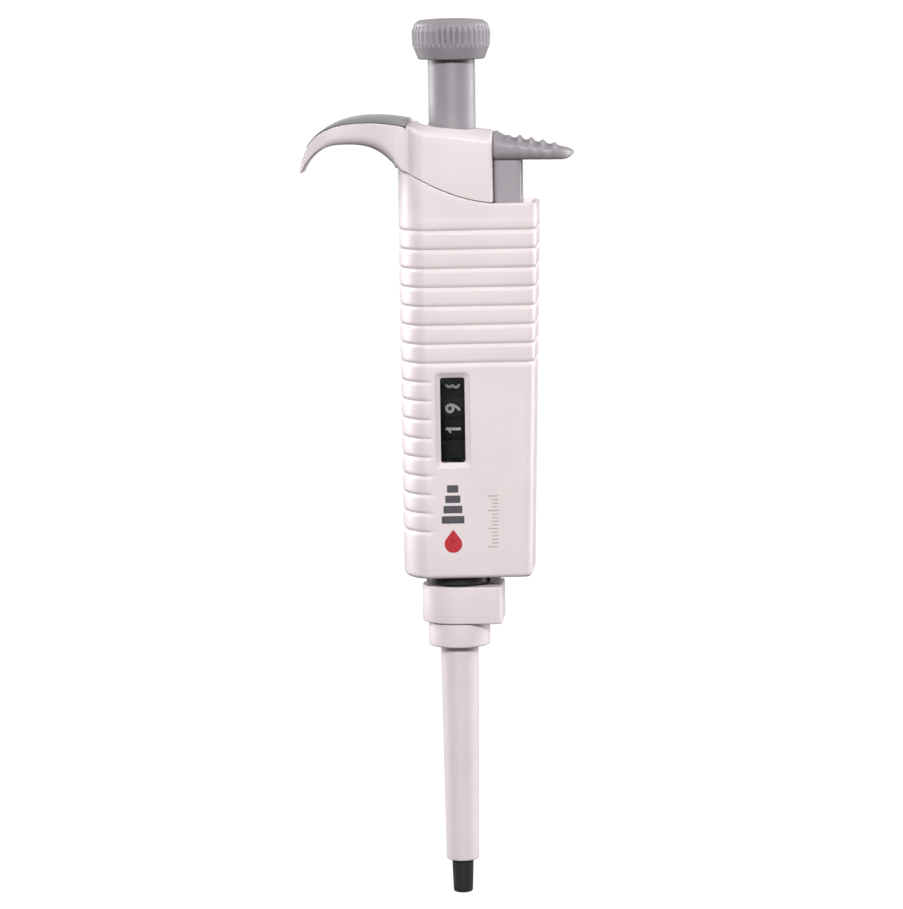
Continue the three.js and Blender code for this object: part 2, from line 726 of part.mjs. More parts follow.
function ejectorSleeve() {
  const collar = 8.05;
  return turned([
    [3.25, SLEEVE_BOTTOM], [3.9, SLEEVE_BOTTOM], [4.38, SLEEVE_BOTTOM + 0.8], [4.95, SLEEVE_TOP],
    [collar - 0.4, SLEEVE_TOP], [collar, SLEEVE_TOP + 0.4], [collar, COLLAR_TOP],
    [HOUSING_RADIUS + 0.4, COLLAR_TOP], [HOUSING_RADIUS + 0.4, SLEEVE_TOP + 1], [3.9, SLEEVE_TOP + 1],
  ], 36);
}

// ---------- springs ----------
function returnSpring() {
  return coil({ radius: 3.25, wire: 0.4, turns: 10, bottom: 80.2, top: PISTON_TOP + 0.2, stepsPerTurn: 10 });
}

function blowoutSpring() {
  const top = PLATE_TOP - PLATE_THICKNESS - 0.2;
  return coil({ radius: 7.6, wire: 0.55, turns: 4, bottom: 147.7, top });
}

function ejectorSpring() {
  return coil({
    radius: 3.55, wire: 0.35, turns: 8, bottom: 124, top: 151, x: EJECTOR_X, stepsPerTurn: 10,
  });
}

// ---------- assembly ----------
function piece(name, geometry, material) {
  const mesh = new THREE.Mesh(geometry, material);
  mesh.name = name;
  return mesh;
}

function assembly(name, ...members) {
  const group = new THREE.Group();
  group.name = name;
  group.add(...members);
  return group;
}

const handle = assembly(
  'handle',
  piece('handle_shell', handleShell(), shellWhite),
  piece('hook_cap', hookCap(), shellWhite),
  piece('hook_pad', hookPad(), padGrey),
  piece('stem_bush', stemBush(), counterBlack),
  piece('calibration_ring', calibrationRing(), brass),
  piece('top_bearing', topBearing(), counterBlack),
  piece('guide_sleeve', guideSleeve(), counterBlack),
  piece('spring_bracket', springBracket(), counterBlack),
);

const counter = assembly(
  'counter',
  piece('counter_frame', counterFrame(), counterBlack),
  piece('drum_arbor', drumArbor(), steel),
  piece('window_lens', windowLens(), clearPlastic),
  piece('window_mask', windowMask(), counterBlack),
  piece('drum_units', unitsDrum(), counterBlack),
  piece('drum_tens', numberDrum(1), counterBlack),
  piece('drum_hundreds', numberDrum(2), counterBlack),
  piece('drum_blank', numberDrum(3), counterBlack),
  piece('carry_pinion_tens', carryPinion(0), whitePlastic),
  piece('carry_pinion_hundreds', carryPinion(1), whitePlastic),
  piece('pinion_axle', pinionAxle(), steel),
);

const lowerEnd = assembly(
  'lower_end',
  piece('tip_cone', tipCone(), coneBlack),
  piece('cone_nut', coneNut(), coneBlack),
  piece('o_ring', oRing(), sealRubber),
  piece('seal_ring', sealRing(), whitePlastic),
  piece('seal_retainer', sealRetainer(), brass),
);

const plunger = assembly(
  'plunger',
  piece('plunger_knob', plungerKnob(), keyGrey),
  piece('knob_cap', knobCap(), keyGrey),
  piece('plunger_stem', plungerStem(), keyGrey),
  piece('spindle', spindle(), steel),
  piece('stop_nut', stopNut(), brass),
  piece('thrust_pad', thrustPad(), whitePlastic),
  piece('piston_head', pistonHead(), brass),
  piece('piston', piston(), steel),
  piece('blowout_plate', blowoutPlate(), steel),
  piece('return_spring', returnSpring(), steel),
  piece('blowout_spring', blowoutSpring(), steel),
);

const ejector = assembly(
  'ejector',
  piece('ejector_button', ejectorButton(), keyGrey),
  piece('ejector_stem', ejectorStem(), keyGrey),
  piece('ejector_rod', ejectorRod(), steel),
  piece('rod_collar', rodCollar(), counterBlack),
  piece('ejector_yoke', ejectorYoke(), shellWhite),
  piece('ejector_sleeve', ejectorSleeve(), shellWhite),
  piece('ejector_spring', ejectorSpring(), steel),
);

const micropipette = assembly('micropipette', handle, counter, lowerEnd, plunger, ejector);
micropipette.position.z = -TOTAL_HEIGHT;

export default micropipette;
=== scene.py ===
"""Looks of an adjustable micropipette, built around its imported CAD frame.

Lengths in this script are millimetres and heights are measured up the plunger axis from the open
end of the tip cone, as in the CAD. place() turns them into the frame's metres. The pipette stands
upright: +X points to the tip ejector, -X to the finger hook and -Y to the counter window.
"""

import math

import bmesh
import bpy
from mathutils import Matrix, Vector


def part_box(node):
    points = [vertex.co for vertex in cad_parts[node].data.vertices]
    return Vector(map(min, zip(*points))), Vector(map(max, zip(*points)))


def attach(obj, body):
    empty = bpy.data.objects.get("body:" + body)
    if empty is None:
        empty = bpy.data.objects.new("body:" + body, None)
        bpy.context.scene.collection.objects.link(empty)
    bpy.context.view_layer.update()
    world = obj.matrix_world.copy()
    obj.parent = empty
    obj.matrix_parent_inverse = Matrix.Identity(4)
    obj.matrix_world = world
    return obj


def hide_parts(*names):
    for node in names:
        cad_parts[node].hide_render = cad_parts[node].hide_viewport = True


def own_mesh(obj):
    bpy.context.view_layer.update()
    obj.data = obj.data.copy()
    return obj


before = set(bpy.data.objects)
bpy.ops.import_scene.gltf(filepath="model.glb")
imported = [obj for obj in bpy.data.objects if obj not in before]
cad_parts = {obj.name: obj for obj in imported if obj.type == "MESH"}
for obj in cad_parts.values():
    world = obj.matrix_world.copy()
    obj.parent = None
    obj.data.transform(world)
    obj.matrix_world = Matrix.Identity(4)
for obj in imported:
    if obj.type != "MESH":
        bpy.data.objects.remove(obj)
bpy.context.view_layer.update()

MM = 0.001
TOTAL_HEIGHT = 235

# Body
BODY_BOTTOM = 87.6
SHOULDER = 186.8
HALF_THICKNESS = 13
FLAT_START = -6.6
ROUND_DEPTH = 7.9
TAPER = math.radians(7)
END_AT_BOTTOM = 20.2
END_SLOPE = 0.0235
BODY_CORNER = 2.2
WALL = 1.6
FLOOR_THICKNESS = 2.5

# Grip grooves
GROOVE_COUNT = 17
FULL_GROOVES = 8
GROOVE_PITCH = 4.98
TOP_GROOVE = 179.8
GROOVE_WIDTH = 1.5
GROOVE_DEPTH = 0.44
RIB_SWELL = 0.05

# Cap, hook and button
CAP_END = 11
HOOK_TIP = -40.2
HOOK_ROOT = -14.6
SEAM = ((-17, 196.4), (-10.5, 196.6), (-3.8, 188.4), (CAP_END, SHOULDER))
SEAM_GAP = 0.22
CAP_TOP = 207.1
CAP_SLOPE = math.radians(6)
HOOK_HALF_WIDTH = 7.5
HOOK_ROOT_HALF_WIDTH = 10.8
PAD_THICKNESS = 1.6
PAD_START = -38.2
PAD_END = -11.3
STEM_RADIUS = 6.2
STEM_HOLE = 7.2
KNOB_RIBS = 40

# Ejector
EJECTOR_FACE = CAP_END + 0.12
EJECTOR_STEM_END = 18.3
BUTTON_UNDER = 197.9

# Counter
WINDOW_WIDTH = 6.5
WINDOW_BOTTOM = 118.5
WINDOW_TOP = 141.1
DRUM_RADIUS = 8.8
DRUM_BORE = 5.2
DRUM_PITCH = 5.5
UNITS_HEIGHT = 138.2
DIGIT_HEIGHT = 4.1
DIGIT_SHARE_OF_TYPE = 0.73
UNITS_FIGURE_RISE = 1.05
LENS_DEPTHS = (1.1, 1.9)
MASK_DEPTHS = (2.2, 2.8)
READING = {"units": 8, "tens": 9, "hundreds": 1}

# Lower end
SLEEVE_BOTTOM = 9.1
SLEEVE_TOP = 68.1
COLLAR_TOP = 74.4
YOKE_TOP = 84.6
CLEARANCE = 6.3


# ---------- small maths ----------
def lerp(a, b, t):
    return a + (b - a) * t


def smoothstep(edge0, edge1, x):
    t = min(max((x - edge0) / (edge1 - edge0), 0), 1)
    return t * t * (3 - 2 * t)


def bezier(points, t):
    """Point on a cubic curve in the XZ plane."""
    s = 1 - t
    weights = (s**3, 3 * s * s * t, 3 * s * t * t, t**3)
    return tuple(sum(w * p[k] for w, p in zip(weights, points)) for k in (0, 1))


def curve_height(curves, x):
    """Height at x of a line made of cubic curves whose x always grows."""
    for points in curves:
        if x <= points[3][0]:
            break
    low, high = 0.0, 1.0
    for _ in range(30):
        middle = (low + high) / 2
        if bezier(points, middle)[0] < x:
            low = middle
        else:
            high = middle
    return bezier(points, (low + high) / 2)[1]


def spread(start, end, count):
    return [lerp(start, end, i / (count - 1)) for i in range(count)]


# ---------- mesh building ----------
def place(x, y, z):
    return (x * MM, y * MM, (z - TOTAL_HEIGHT) * MM)


def mesh_piece(name, points, faces):
    mesh = bpy.data.meshes.new(name)
    mesh.from_pydata([place(*p) for p in points], [], faces)
    made = bpy.data.objects.new(name, mesh)
    bpy.context.scene.collection.objects.link(made)
    clean(made)
    return made


def clean(made):
    """Welds doubles and turns every face outwards."""
    shape = bmesh.new()
    shape.from_mesh(made.data)
    bmesh.ops.remove_doubles(shape, verts=shape.verts, dist=1e-7)
    bmesh.ops.recalc_face_normals(shape, faces=shape.faces)
    if shape.calc_volume(signed=True) < 0:
        bmesh.ops.reverse_faces(shape, faces=shape.faces)
    shape.to_mesh(made.data)
    shape.free()


def loft(name, rings, wrap=False):
    """Skin through rings of equal length, closed at both ends or joined end to end."""
    count = len(rings[0])
    faces = []
    spans = len(rings) if wrap else len(rings) - 1
    for level in range(spans):
        a, b = level * count, ((level + 1) % len(rings)) * count
        for i in range(count):
            j = (i + 1) % count
            faces.append((a + i, a + j, b + j, b + i))
    if not wrap:
        last = (len(rings) - 1) * count
        faces.append(tuple(reversed(range(count))))
        faces.append(tuple(range(last, last + count)))
    return mesh_piece(name, [p for ring in rings for p in ring], faces)


def rounded(outline, radius, steps=5):
    """A closed 2-D outline with every corner rounded; a point may carry its own radius third."""
    result = []
    for i, point in enumerate(outline):
        corner = Vector(point[:2])
        before = Vector(outline[i - 1][:2]) - corner
        after = Vector(outline[(i + 1) % len(outline)][:2]) - corner
        wanted = point[2] if len(point) > 2 else radius
        half_angle = before.angle(after) / 2
        room = 0.49 * min(before.length, after.length)
        reach = min(wanted / max(math.tan(half_angle), 1e-6), room)
        if reach < 1e-4:
            result.append(tuple(corner))
            continue
        start = corner + before.normalized() * reach
        end = corner + after.normalized() * reach
        for k in range(steps + 1):
            t = k / steps
            result.append(tuple(start * (1 - t) ** 2 + corner * 2 * t * (1 - t) + end * t * t))
    return result


def turned(name, outline, radius, segments=96):
    """Solid of revolution of a closed (radius, height) outline with rounded corners."""
    profile = rounded(outline, radius)
    rings = []
    for i in range(segments):
        angle = 2 * math.pi * i / segments
        rings.append([(r * math.cos(angle), r * math.sin(angle), z) for r, z in profile])
    return loft(name, rings, wrap=True)


def rectangle(x0, x1, y0, y1):
    return [(x0, y0), (x1, y0), (x1, y1), (x0, y1)]


def half_circle(radius, start, x=0):
    """Half a circle about a point on the X axis, anticlockwise from a start angle."""
    angles = spread(start, start + math.pi, 49)
    return [(x + radius * math.cos(a), radius * math.sin(a)) for a in angles]


def rod(name, radius, bottom, top, segments=96):
    """A plain cylinder on the plunger axis."""
    return turned(name, rectangle(0.01, radius, bottom, top), 0, segments)


def block(name, x, y, z):
    return loft(name, [[(a, b, height) for a, b in rectangle(*x, *y)] for height in z])


def prism(name, outline, levels):
    """A plan outline raised through (height, inset) levels; the inset shrinks it towards its middle."""
    centre = sum((Vector(p) for p in outline), Vector((0, 0))) / len(outline)
    rings = []
    for height, inset in levels:
        ring = []
        for point in outline:
            spoke = Vector(point) - centre
            x, y = centre + spoke * (1 - inset / spoke.length)
            ring.append((x, y, height))
        rings.append(ring)
    return loft(name, rings)


def edge_levels(bottom, top, radius, steps=5):
    """Levels for prism() that round its lower and upper edges."""
    turns = [math.pi / 2 * i / steps for i in range(steps + 1)]
    rise = [(radius * (1 - math.cos(a)), radius * (1 - math.sin(a))) for a in turns]
    lower = [(bottom + up, inset) for up, inset in rise]
    upper = [(top - up, inset) for up, inset in reversed(rise)]
    return lower + upper


def carve(made, cutter):
    """Cuts a piece with a cutter that is then thrown away."""
    step = made.modifiers.new("carve", "BOOLEAN")
    step.operation = "DIFFERENCE"
    step.solver = "EXACT"
    step.object = cutter
    bpy.context.view_layer.update()
    evaluated = made.evaluated_get(bpy.context.evaluated_depsgraph_get())
    carved = bpy.data.meshes.new_from_object(evaluated)
    made.modifiers.clear()
    made.data = carved
    bpy.data.objects.remove(cutter)


def finish_piece(made, body, material, replaced=(), angle=32):
    """Smooth shading up to an angle, a material, a body to ride on and the CAD nodes it stands for."""
    made.data.shade_smooth()
    made.data.set_sharp_from_angle(angle=math.radians(angle))
    made.data.materials.clear()
    made.data.materials.append(material)
    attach(made, body)
    if replaced:
        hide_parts(*replaced)
    return made


# ---------- materials ----------
class Nodes:
    """A short way to write a material's node tree."""

    def __init__(self, name):
        self.material = bpy.data.materials.new(name)
        self.material.use_nodes = True
        self.tree = self.material.node_tree
        self.surface = self.tree.nodes["Principled BSDF"]
        self.position = self.add("ShaderNodeTexCoord").outputs["Object"]

    def add(self, kind, **settings):
        node = self.tree.nodes.new(kind)
        for key, value in settings.items():
            setattr(node, key, value)
        return node

    def link(self, source, target):
        self.tree.links.new(source, target)

    def noise(self, scale, detail, stretch=(1, 1, 1)):
        """Noise with its scale in features per metre."""
        mapping = self.add("ShaderNodeMapping")
        mapping.inputs["Scale"].default_value = stretch
        self.link(self.position, mapping.inputs["Vector"])
        noise = self.add("ShaderNodeTexNoise")
        noise.inputs["Scale"].default_value = scale
        noise.inputs["Detail"].default_value = detail
        self.link(mapping.outputs["Vector"], noise.inputs["Vector"])
        return noise.outputs["Fac"]

    def remap(self, source, low, high, start=0.3, end=0.7):
        node = self.add("ShaderNodeMapRange")
        node.inputs["From Min"].default_value = start
        node.inputs["From Max"].default_value = end
        node.inputs["To Min"].default_value = low
        node.inputs["To Max"].default_value = high
        self.link(source, node.inputs["Value"])
        return node.outputs["Result"]

    def blend(self, factor, first, second):
        """Mixes two colours, each a triple or a socket."""
        node = self.add("ShaderNodeMix", data_type="RGBA")
        self.link(factor, node.inputs["Factor"])
        for name, value in (("A", first), ("B", second)):
            socket = [s for s in node.inputs if s.name == name and s.type == "RGBA"][0]
            if isinstance(value, tuple):
                socket.default_value = (*value, 1)
            else:
                self.link(value, socket)
        return [s for s in node.outputs if s.type == "RGBA"][0]

    def bump(self, height, strength, distance):
        """Adds relief to the surface, on top of any it already has."""
        node = self.add("ShaderNodeBump")
        node.inputs["Strength"].default_value = strength
        node.inputs["Distance"].default_value = distance
        self.link(height, node.inputs["Height"])
        normal = self.surface.inputs["Normal"]
        for earlier in list(normal.links):
            self.link(earlier.from_socket, node.inputs["Normal"])
        self.link(node.outputs["Normal"], normal)

    def edges(self):
        """1 on sharp outer edges, 0 on flat ground and in corners."""
        return self.remap(self.add("ShaderNodeNewGeometry").outputs["Pointiness"], 0, 1, 0.52, 0.6)


def shade(colour, factor):
    return tuple(min(c * factor, 1) for c in colour)


def moulded(name, colour, roughness, grain_depth=0.012, clouding=0.03, coat=0.0):
    """Injection-moulded plastic: faint clouding and smudges, paler edges, fine spark-eroded grain."""
    nodes = Nodes(name)
    cloud = nodes.remap(nodes.noise(60, 4), 0, 1)
    body = nodes.blend(cloud, shade(colour, 1 - clouding), shade(colour, 1 + clouding))
    smudge = nodes.remap(nodes.noise(140, 6), 0, 0.35, 0.5, 0.75)
    body = nodes.blend(smudge, body, shade(colour, 0.95))
    worn = nodes.blend(nodes.edges(), body, shade(colour, 1.06))
    nodes.link(worn, nodes.surface.inputs["Base Color"])
    patches = nodes.remap(nodes.noise(220, 5), roughness * 0.86, roughness * 1.16)
    nodes.link(patches, nodes.surface.inputs["Roughness"])
    nodes.bump(nodes.noise(90, 2), 0.2, 0.04 * MM)
    nodes.bump(nodes.noise(2600, 2), 0.35, grain_depth * MM)
    nodes.surface.inputs["Coat Weight"].default_value = coat
    nodes.surface.inputs["Coat Roughness"].default_value = 0.25
    nodes.surface.inputs["Subsurface Weight"].default_value = 0.04
    nodes.surface.inputs["Subsurface Radius"].default_value = (0.6 * MM, 0.4 * MM, 0.35 * MM)
    return nodes.material


def soft_rubber(name, colour):
    """Matt elastomer with a pebbled skin and slightly shiny rubbed spots."""
    nodes = Nodes(name)
    cloud = nodes.remap(nodes.noise(80, 5), 0, 1)
    body = nodes.blend(cloud, shade(colour, 0.94), shade(colour, 1.06))
    nodes.link(body, nodes.surface.inputs["Base Color"])
    nodes.link(nodes.remap(nodes.noise(150, 4), 0.55, 0.85), nodes.surface.inputs["Roughness"])
    pebbles = nodes.add("ShaderNodeTexVoronoi")
    pebbles.inputs["Scale"].default_value = 1500
    nodes.link(nodes.position, pebbles.inputs["Vector"])
    nodes.bump(pebbles.outputs["Distance"], 0.4, 0.05 * MM)
    nodes.surface.inputs["Sheen Weight"].default_value = 0.15
    return nodes.material


def worked_metal(name, colour, roughness, stretch):
    """Metal with fine tool marks that run round or along it, and a few duller patches."""
    nodes = Nodes(name)
    marks = nodes.noise(900, 3, stretch)
    tint = nodes.blend(nodes.remap(nodes.noise(120, 4), 0, 1), shade(colour, 0.9), shade(colour, 1.05))
    nodes.link(tint, nodes.surface.inputs["Base Color"])
    nodes.surface.inputs["Metallic"].default_value = 1
    nodes.link(nodes.remap(marks, roughness * 0.7, roughness * 1.4), nodes.surface.inputs["Roughness"])
    nodes.bump(marks, 0.3, 0.01 * MM)
    return nodes.material


def clear_plastic(name):
    """Polished window plastic with faint haze and hairline scratches."""
    nodes = Nodes(name)
    scratches = nodes.noise(700, 2, (1, 1, 0.06))
    nodes.link(nodes.remap(scratches, 0.03, 0.12, 0.6, 0.75), nodes.surface.inputs["Roughness"])
    nodes.surface.inputs["Base Color"].default_value = (0.93, 0.95, 0.96, 1)
    nodes.surface.inputs["Transmission Weight"].default_value = 1
    nodes.surface.inputs["IOR"].default_value = 1.2
    nodes.bump(scratches, 0.1, 0.01 * MM)
    return nodes.material


def printed_ink(name, colour):
    """Pad-printed ink: a little uneven, with a slight sheen of its own."""
    nodes = Nodes(name)
    patches = nodes.remap(nodes.noise(900, 3), 0, 1)
    tint = nodes.blend(patches, shade(colour, 0.88), shade(colour, 1.12))
    nodes.link(tint, nodes.surface.inputs["Base Color"])
    nodes.link(nodes.remap(nodes.noise(500, 2), 0.35, 0.55), nodes.surface.inputs["Roughness"])
    nodes.bump(nodes.noise(3000, 2), 0.2, 0.005 * MM)
    return nodes.material


SHELL = moulded("shell_white", (0.80, 0.705, 0.72), 0.48, coat=0.06)
GREY = moulded("key_grey", (0.305, 0.281, 0.305), 0.48, grain_depth=0.02, clouding=0.05)
PAD = soft_rubber("pad_grey", (0.3, 0.285, 0.295))
BLACK = moulded("counter_black", (0.013, 0.013, 0.016), 0.5, clouding=0.15)
DRUM = moulded("drum_black", (0.01, 0.01, 0.012), 0.45, clouding=0.15)
CONE = moulded("cone_charcoal", (0.026, 0.026, 0.03), 0.38, clouding=0.1)
ACETAL = moulded("gear_white", (0.85, 0.85, 0.82), 0.45)
SEAL = moulded("seal_white", (0.9, 0.88, 0.84), 0.5)
RUBBER = soft_rubber("seal_rubber", (0.012, 0.012, 0.012))
STEEL = worked_metal("bright_steel", (0.62, 0.63, 0.65), 0.22, (1, 1, 0.08))
WIRE = worked_metal("spring_wire", (0.55, 0.56, 0.58), 0.28, (1, 1, 4))
# Bare steel darkened well below STEEL: painted shade, so the ejector rod reads dark in the gap under the
# body.
GAP_SHADE_STEEL = worked_metal("strip_steel", (0.3, 0.3, 0.31), 0.45, (1, 1, 0.05))
BRASS = worked_metal("turned_brass", (0.72, 0.5, 0.22), 0.28, (0.15, 0.15, 1))
GLASS = clear_plastic("lens_clear")
DIGIT_INK = printed_ink("digit_ink", (0.95, 0.96, 0.97))
RED_INK = printed_ink("red_ink", (0.52, 0.02, 0.03))
DARK_INK = printed_ink("dark_ink", (0.085, 0.08, 0.095))
PALE_INK = printed_ink("pale_ink", (0.46, 0.41, 0.39))


# ---------- body ----------
def end_at(height):
    return END_AT_BOTTOM + END_SLOPE * (height - BODY_BOTTOM)


def half_thickness(x):
    return HALF_THICKNESS - max(x - FLAT_START, 0) * math.tan(TAPER)


def body_outline(height, inset):
    """Plan outline of the body: half an ellipse behind, narrowing flats and a rounded end."""
    points = []
    for angle in spread(math.pi / 2, 3 * math.pi / 2, 57):
        x = FLAT_START + (ROUND_DEPTH - inset) * math.cos(angle)
        points.append((x, (HALF_THICKNESS - inset) * math.sin(angle)))
    corner = BODY_CORNER - min(inset, BODY_CORNER - 1)
    corner_x = end_at(height) - inset - corner
    corner_y = half_thickness(corner_x) - inset - corner / math.cos(TAPER)
    flat_to = corner_x + corner * math.sin(TAPER)
    flat = [lerp(FLAT_START, flat_to, t) for t in spread(0, 1, 25)[1:-1]]
    near = [(x, -(half_thickness(x) - inset)) for x in flat]
    turns = spread(math.pi / 2 - TAPER, 0, 10)
    near += [(corner_x + corner * math.cos(a), -corner_y - corner * math.sin(a)) for a in turns]
    far = [(x, -y) for x, y in reversed(near)]
    return points + near + far


def seam_height(x):
    return curve_height([SEAM], x) if x < CAP_END else SHOULDER


def groove_inset(offset):
    """How far the skin lies in at a distance up from the nearest groove's middle."""
    u = abs(offset) / (GROOVE_WIDTH / 2)
    if u < 1:
        return GROOVE_DEPTH * (1 - u) ** 1.3
    swell = (abs(offset) - GROOVE_WIDTH / 2) / (GROOVE_PITCH / 2 - GROOVE_WIDTH / 2)
    return -RIB_SWELL * math.sin(math.pi / 2 * min(swell, 1))


def groove_levels():
    """Heights from the bottom up with the groove they belong to and the skin's inset there."""
    shares = (-1, -0.75, -0.5, -0.3, -0.26, -0.2, -0.14, -0.08, -0.03, 0)
    shares += tuple(-s for s in reversed(shares[:-1]))
    levels = []
    for groove in range(GROOVE_COUNT - 1, -1, -1):
        middle = TOP_GROOVE - groove * GROOVE_PITCH
        for share in shares[1:]:
            offset = share * GROOVE_PITCH / 2
            levels.append((middle + offset, groove, groove_inset(offset)))
    return levels


def skin_ring(height, groove, inset):
    """One grooved outline. Lower grooves fade out where the flat face starts."""
    plain = body_outline(height, 0)
    deep = body_outline(height, inset)
    ring = []
    for (px, py), (dx, dy) in zip(plain, deep):
        share = 1 if groove < FULL_GROOVES else 1 - smoothstep(FLAT_START - 0.5, FLAT_START + 1.1, px)
        ring.append((lerp(px, dx, share), lerp(py, dy, share), height))
    return ring


def body_skin():
    """Grooved outside, rolled lip along the seam and the inside wall down to the floor."""
    rounding = 1.2
    rings = []
    for angle in spread(0, math.pi / 2, 7):
        inset = rounding * (1 - math.sin(angle))
        height = BODY_BOTTOM + rounding * (1 - math.cos(angle))
        rings.append([(x, y, height) for x, y in body_outline(height, inset)])
    below_grooves = 96
    rings.append([(x, y, below_grooves) for x, y in body_outline(below_grooves, 0)])
    rings += [skin_ring(*level) for level in groove_levels()]
    start = TOP_GROOVE + GROOVE_PITCH / 2 + 0.4
    lip = 0.35
    for share in spread(0, 1, 7):
        ring = body_outline(start, 0)
        rings.append([(x, y, lerp(start, seam_height(x) - lip, share)) for x, y in ring])
    for angle in spread(0, math.pi / 2, 5)[1:]:
        inset, rise = lip * (1 - math.cos(angle)), lip * math.sin(angle)
        ring = body_outline(SHOULDER, inset)
        rings.append([(x, y, seam_height(x) - lip + rise) for x, y in ring])
    inner = body_outline(SHOULDER, WALL)
    rings.append([(x, y, seam_height(x)) for x, y in inner])
    floor = BODY_BOTTOM + FLOOR_THICKNESS
    rings.append([(x, y, floor) for x, y in body_outline(BODY_BOTTOM, WALL)])
    skin = loft("body_skin", rings)
    for cutter in window_cutters() + floor_cutters():
        carve(skin, cutter)
    return finish_piece(skin, "handle", SHELL, ["handle_shell"], 28)


def floor_cutters():
    """The round hole for the piston housing and the slot for the ejector rod."""
    hole = rod("hole", CLEARANCE, 80, 92, 64)
    slot = block("slot", (8.6, 11.4), (-2.8, 2.8), (84, 92))
    return [hole, slot]


def on_near_face(made):
    """Moves a piece drawn with y as depth onto the near flat face, level with its outside."""
    turn = Matrix.Rotation(TAPER, 4, "Z")
    shift = Matrix.Translation(Vector((0, -half_thickness(0) * MM, 0)))
    made.data.transform(shift @ turn)
    return made


def face_outline(width, bottom, top, radius):
    """Rounded upright rectangle as (x, z) points."""
    half = width / 2
    return rounded(rectangle(-half, half, bottom, top), radius, 8)


def face_stack(name, layers):
    """Solid through (outline, depth) layers parallel to the near face."""
    return on_near_face(loft(name, [[(x, depth, z) for x, z in outline] for outline, depth in layers]))


def window_cutters():
    """The window with its sloping surround, and the wider pocket for the mask behind it."""
    bevel, sill_depth = 1.55, 1.05
    outer = face_outline(WINDOW_WIDTH + 2 * bevel, WINDOW_BOTTOM - bevel, WINDOW_TOP + bevel, 1.5)
    inner = face_outline(WINDOW_WIDTH, WINDOW_BOTTOM, WINDOW_TOP, 0.8)
    back = face_outline(10.4, WINDOW_BOTTOM - 1.9, WINDOW_TOP + 0.7, 0.3)
    surround = face_stack("surround", [(outer, -0.06), (inner, sill_depth), (inner, 3.5)])
    pocket = face_stack("pocket", [(back, 1.95), (back, 4)])
    return [surround, pocket]


def shoulder_deck():
    """Sunken deck the ejector stem passes through, inside the body's lip."""
    outline = body_outline(SHOULDER, WALL - 0.02)
    deck = prism("shoulder_deck", outline, [(184.2, 0), (185.7, 0)])
    carve(deck, block("behind", (-30, CAP_END - 1.2), (-20, 20), (180, 190)))
    plan = rounded(rectangle(CAP_END - 2, EJECTOR_STEM_END + 0.35, -5.9, 5.9), 1.3)
    carve(deck, prism("slot", plan, [(183, 0), (187, 0)]))
    return finish_piece(deck, "handle", SHELL, ["handle_shell"])


# ---------- cap and hook ----------
HOOK_TOP = (
    ((HOOK_TIP, 195.1), (-39.5, 200.9), (-37.3, 204.4), (-33.4, 206.7)),
    ((-33.4, 206.7), (-27, 210.7), (-19, 210.4), (-11.2, 208.7)),
)
HOOK_UNDER = (
    ((-39.8, 194.9), (-38.4, 198.4), (-35.2, 202.2), (-29.2, 202.3)),
    ((-29.2, 202.3), (-27.5, 202.35), (-26.5, 202.35), (-25.2, 202.3)),
    ((-25.2, 202.3), (-20.2, 202), (-17.6, 199.9), (HOOK_ROOT, 196.8)),
)


def hook_half_width(x):
    """The hook widens from its tip to its root at the cap."""
    middle = -31
    tip = lerp(5.2, HOOK_HALF_WIDTH, smoothstep(HOOK_TIP, middle, x))
    return lerp(tip, HOOK_ROOT_HALF_WIDTH, smoothstep(middle, PAD_END, x))


def cap_half_width(x):
    """Half width of cap and hook: the body's outline, run into the narrower hook."""
    if x > FLAT_START:
        return half_thickness(x)
    from_middle = (x - FLAT_START) / ROUND_DEPTH
    outline = HALF_THICKNESS * math.sqrt(max(1 - from_middle**2, 0))
    hook = hook_half_width(x) * (1 - smoothstep(PAD_END, FLAT_START, x))
    sharpness = 24
    return (outline**sharpness + hook**sharpness) ** (1 / sharpness)


def crown_height(x):
    """Middle of the cap's top, which slopes down to the ejector, more so past the stem."""
    return CAP_TOP - x * math.tan(CAP_SLOPE) - 0.35 * smoothstep(0, CAP_END, x)


def pad_drop(x):
    """Depth of the recess the pad lies in, running out towards the hook's tip."""
    return PAD_THICKNESS * smoothstep(-40.5, -22, x)


def cap_limits(x):
    """Height of the top and underside at x."""
    if x < PAD_END:
        top = curve_height(HOOK_TOP, x) - pad_drop(x)
    else:
        top = min(crown_height(x), lerp(207.9, 208.4, smoothstep(PAD_END, -8.5, x)))
    if x < HOOK_ROOT:
        under = curve_height(HOOK_UNDER, max(x, HOOK_UNDER[0][0][0]))
    else:
        under = seam_height(x) + SEAM_GAP
    return top, under


def cross_section(x, half, top, under, crown, top_round, under_round):
    """Closed section at x: crowned top, straight sides, rounded edges."""
    room = 0.46 * (top - crown - under)
    top_round, under_round = min(top_round, room), min(under_round, room)
    right = []
    for t in spread(0, 1, 9):
        y = (half - top_round) * t
        right.append((y, top - crown * (y / half) ** 2))
    side_top = right[-1][1]
    for a in spread(math.pi / 2, 0, 8)[1:]:
        right.append((half - top_round + top_round * math.cos(a), side_top - top_round * (1 - math.sin(a))))
    for t in spread(0, 1, 5)[1:-1]:
        right.append((half, lerp(side_top - top_round, under + under_round, t)))
    for a in spread(0, math.pi / 2, 8):
        right.append((half - under_round * (1 - math.cos(a)), under + under_round * (1 - math.sin(a))))
    right.append((0, under))
    left = [(-y, z) for y, z in reversed(right[1:-1])]
    return [(x, y, z) for y, z in right + left]


def cap_stations():
    """Where sections are taken: close together at the tip, the root of the hook and the flat end."""
    stations = [-40.1, -40.02, -39.9, -39.7, -39.4, -39, -38.6]
    stations += spread(PAD_START, -16, 60)
    stations += spread(-15.7, PAD_END - 0.02, 28)
    stations += spread(PAD_END + 0.02, FLAT_START, 40)
    stations += spread(FLAT_START + 0.5, CAP_END - 0.8, 26)
    return stations


